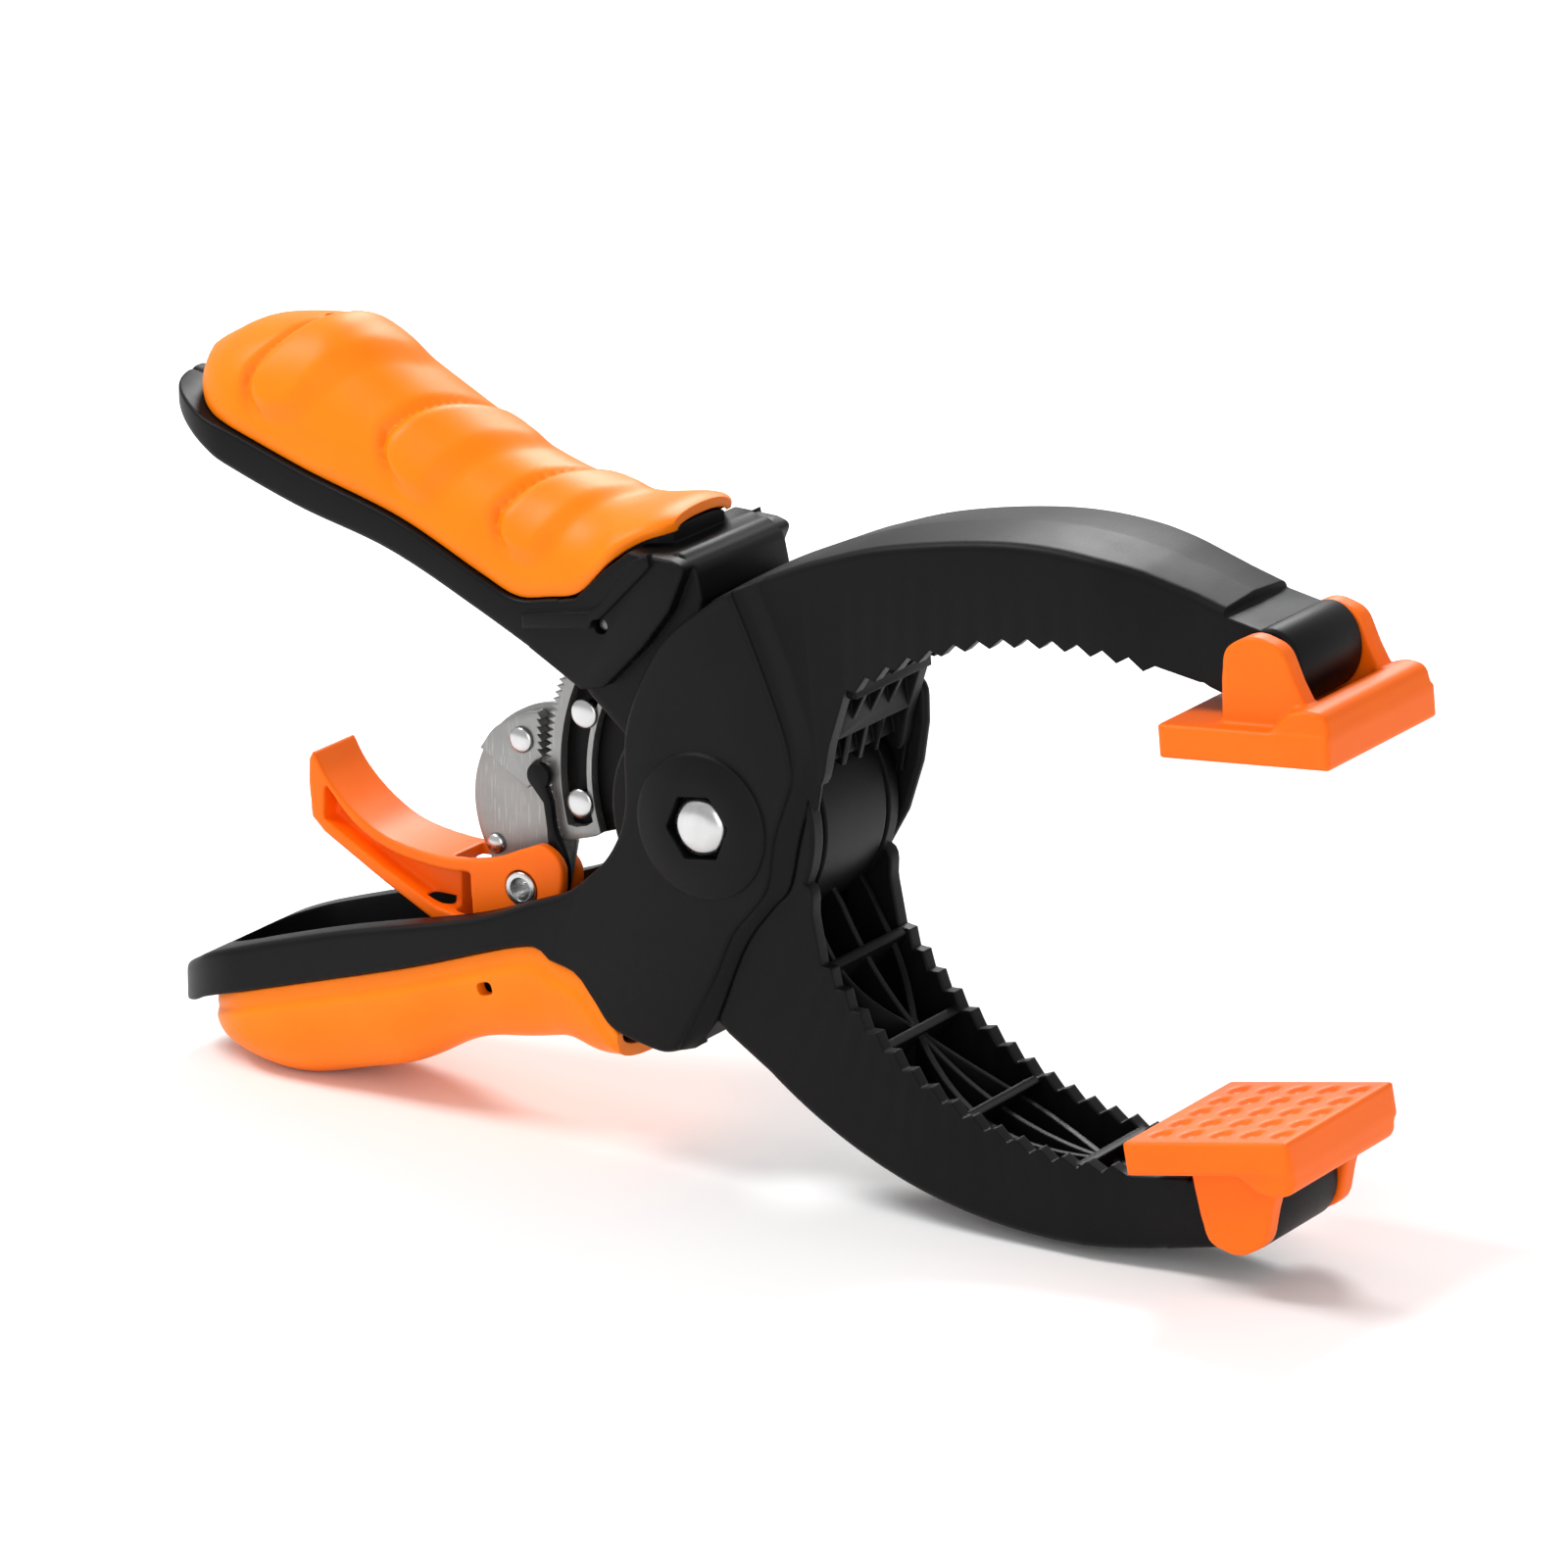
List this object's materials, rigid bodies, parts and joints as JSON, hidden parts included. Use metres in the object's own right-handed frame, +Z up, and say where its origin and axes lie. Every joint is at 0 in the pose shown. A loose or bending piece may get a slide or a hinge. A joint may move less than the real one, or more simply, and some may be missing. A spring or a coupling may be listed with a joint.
{
  "type": "ratcheting hand clamp",
  "caption": "One-handed ratcheting clamp: crossed black arms on a pivot, orange grips, toothed curved jaws with swivel pads, and a release lever.",
  "frame": {"origin": "middle of the clamp's length and width, at the level it stands on", "axes": "+X along the clamp from the handles to the pads, +Y along the pivot, +Z up"},
  "size_m": [0.2336, 0.0358, 0.1345],
  "materials": {
    "black_nylon": "satin",
    "orange_grip": "soft satin",
    "orange_plastic": "satin",
    "stamped_steel": "brushed",
    "bright_steel": "polished",
    "spring_steel": "oiled"
  },
  "bodies": {
    "outer": {"outer_arm": "black_nylon", "lower_grip": "orange_grip", "pivot_bolt": "bright_steel", "pivot_nut": "bright_steel", "pivot_sleeve": "bright_steel", "opening_spring": "spring_steel", "ratchet_plate": "stamped_steel", "plate_rivet": "bright_steel", "pawl_pin": "bright_steel", "lever_pin": "bright_steel", "lever_spring": "spring_steel", "upper_pad_pin": "bright_steel"},
    "inner": {"inner_arm": "black_nylon", "upper_grip": "orange_grip", "ratchet_rack": "stamped_steel", "rack_rivet_upper": "bright_steel", "rack_rivet_lower": "bright_steel", "root_pin": "spring_steel", "lower_pad_pin": "bright_steel"},
    "lever": {"release_lever": "orange_plastic", "release_finger": "black_nylon"},
    "pawl_body": {"pawl": "stamped_steel"},
    "upper_pad_body": {"upper_pad": "orange_plastic"},
    "lower_pad_body": {"lower_pad": "orange_plastic"}
  },
  "joints": [
    {"name": "jaw_hinge", "type": "hinge", "parent": "outer", "child": "inner", "pos_m": [-0.0019, 0, 0.0628], "axis": [0, 1, 0], "range_deg": [-29, 0], "stiffness_Nm_per_rad": 0.8, "springref_deg": 20.05, "deforming": ["opening_spring"]},
    {"name": "release_lever_hinge", "type": "hinge", "parent": "outer", "child": "lever", "pos_m": [-0.0452, 0, 0.0411], "axis": [0, 1, 0], "range_deg": [-15, 0], "stiffness_Nm_per_rad": 0.03, "springref_deg": 17.19, "deforming": ["lever_spring"]},
    {"name": "pawl_hinge", "type": "hinge", "parent": "outer", "child": "pawl_body", "pos_m": [-0.0476, 0, 0.0661], "axis": [0, 1, 0], "range_deg": [-0.5, 5.5]},
    {"name": "upper_pad_swivel", "type": "hinge", "parent": "outer", "child": "upper_pad_body", "pos_m": [0.1017, 0, 0.1052], "axis": [0, 1, 0], "range_deg": [-25, 18]},
    {"name": "lower_pad_swivel", "type": "hinge", "parent": "inner", "child": "lower_pad_body", "pos_m": [0.0993, 0, 0.0144], "axis": [0, -1, 0], "range_deg": [-25, 6]}
  ],
  "couplings": [
    {"joint": "pawl_hinge", "follows": "release_lever_hinge", "ratio": -0.33333}
  ]
}
